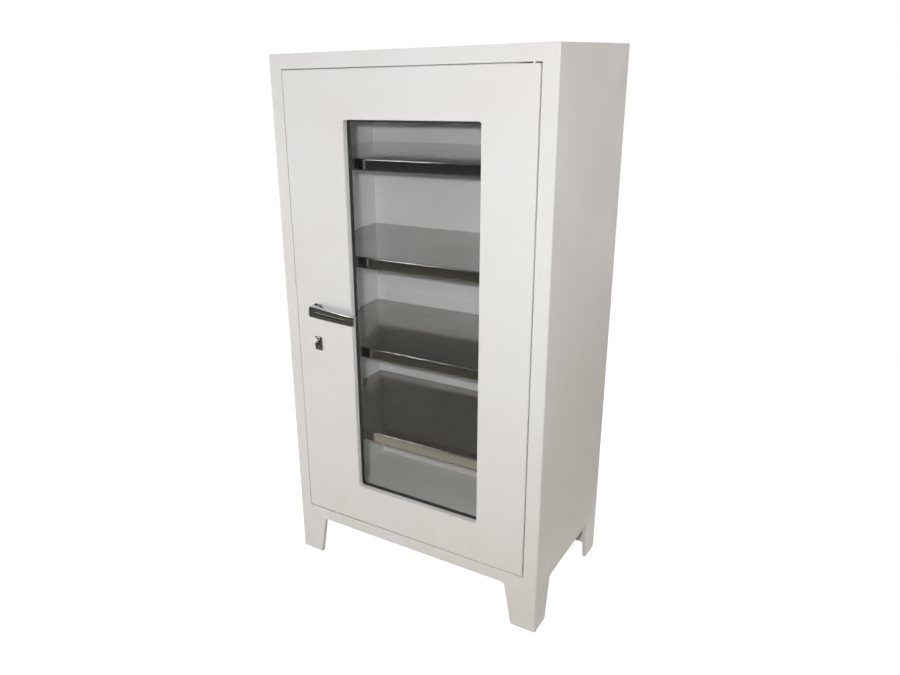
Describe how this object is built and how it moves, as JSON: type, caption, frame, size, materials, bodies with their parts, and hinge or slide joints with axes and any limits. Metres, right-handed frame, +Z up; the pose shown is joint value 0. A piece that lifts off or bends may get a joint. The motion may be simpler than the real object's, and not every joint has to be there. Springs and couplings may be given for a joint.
{
  "type": "glass door medical cabinet",
  "caption": "Free-standing painted steel medical cabinet on tapered legs, with a framed glass door on concealed pivots, a lever handle with latch rods, a key lock and polished steel shelves.",
  "frame": {"origin": "on the floor, under the middle of the whole cabinet's footprint with its handle", "axes": "+Z up, +X to the right as seen from the front, front and door towards -Y"},
  "size_m": [0.64, 0.405, 1.2],
  "materials": {
    "white_paint": "semi-gloss baked white enamel",
    "polished_steel": "polished stainless sheet",
    "clear_glass": "clear float glass",
    "chrome_plate": "bright chrome plate",
    "zinc_plate": "zinc plated steel",
    "brass": "plain turned brass",
    "black_rubber": "matt black rubber"
  },
  "bodies": {
    "cabinet": {"side_left": "white_paint", "side_right": "white_paint", "top_panel": "white_paint", "top_rail": "white_paint", "floor_panel": "white_paint", "bottom_rail": "white_paint", "back_panel": "white_paint", "leg_front_left": "white_paint", "leg_front_right": "white_paint", "leg_back_left": "white_paint", "leg_back_right": "white_paint", "upright_front_left": "white_paint", "upright_front_right": "white_paint", "upright_back_left": "white_paint", "upright_back_right": "white_paint", "shelf_1": "polished_steel", "shelf_2": "polished_steel", "shelf_3": "polished_steel", "shelf_4": "polished_steel", "runner_1_left": "polished_steel", "runner_1_right": "polished_steel", "runner_2_left": "polished_steel", "runner_2_right": "polished_steel", "runner_3_left": "polished_steel", "runner_3_right": "polished_steel", "runner_4_left": "polished_steel", "runner_4_right": "polished_steel", "hinge_bracket_upper": "zinc_plate", "hinge_bracket_lower": "zinc_plate", "hinge_pin_upper": "zinc_plate", "hinge_pin_lower": "zinc_plate", "door_bumper_upper": "black_rubber", "door_bumper_lower": "black_rubber"},
    "door": {"door_skin": "white_paint", "door_inner_pan": "white_paint", "glass_pane": "clear_glass", "glass_gasket": "black_rubber", "glazing_bead_top": "polished_steel", "glazing_bead_bottom": "polished_steel", "glazing_bead_left": "polished_steel", "glazing_bead_right": "polished_steel", "hinge_bush_upper": "brass", "hinge_bush_lower": "brass", "handle_rose": "chrome_plate", "spindle_bearing": "zinc_plate", "rod_guide_upper": "zinc_plate", "rod_guide_lower": "zinc_plate", "lock_case": "zinc_plate", "lock_escutcheon": "chrome_plate", "escutcheon_screw_upper": "chrome_plate", "escutcheon_screw_lower": "chrome_plate"},
    "handle": {"handle_lever": "chrome_plate", "handle_spindle": "zinc_plate", "latch_cam": "zinc_plate"},
    "latch_upper": {"latch_rod_upper": "zinc_plate"},
    "latch_lower": {"latch_rod_lower": "zinc_plate"},
    "lock_bolt": {"lock_bolt": "brass"},
    "keyhole_cover": {"keyhole_cover": "white_paint"}
  },
  "joints": [
    {"name": "door_swing", "type": "hinge", "parent": "cabinet", "child": "door", "pos_m": [0.27, -0.1685, 0.65], "axis": [0, 0, 1], "range_deg": [0, 110]},
    {"name": "handle_turn", "type": "hinge", "parent": "door", "child": "handle", "pos_m": [-0.227, -0.1775, 0.652], "axis": [0, 1, 0], "range_deg": [0, 90]},
    {"name": "latch_upper_slide", "type": "slide", "parent": "door", "child": "latch_upper", "axis": [0, 0, 1], "range_m": [0, 0.017]},
    {"name": "latch_lower_slide", "type": "slide", "parent": "door", "child": "latch_lower", "axis": [0, 0, -1], "range_m": [0, 0.017]},
    {"name": "lock_bolt_slide", "type": "slide", "parent": "door", "child": "lock_bolt", "axis": [-1, 0, 0], "range_m": [0, 0.012]},
    {"name": "keyhole_cover_swing", "type": "hinge", "parent": "door", "child": "keyhole_cover", "pos_m": [-0.231, -0.1795, 0.5865], "axis": [0, -1, 0], "range_deg": [0, 57]}
  ],
  "couplings": [
    {"joint": "latch_upper_slide", "follows": "handle_turn", "m_per_rad": 0.010804},
    {"joint": "latch_lower_slide", "follows": "handle_turn", "m_per_rad": 0.010804}
  ]
}
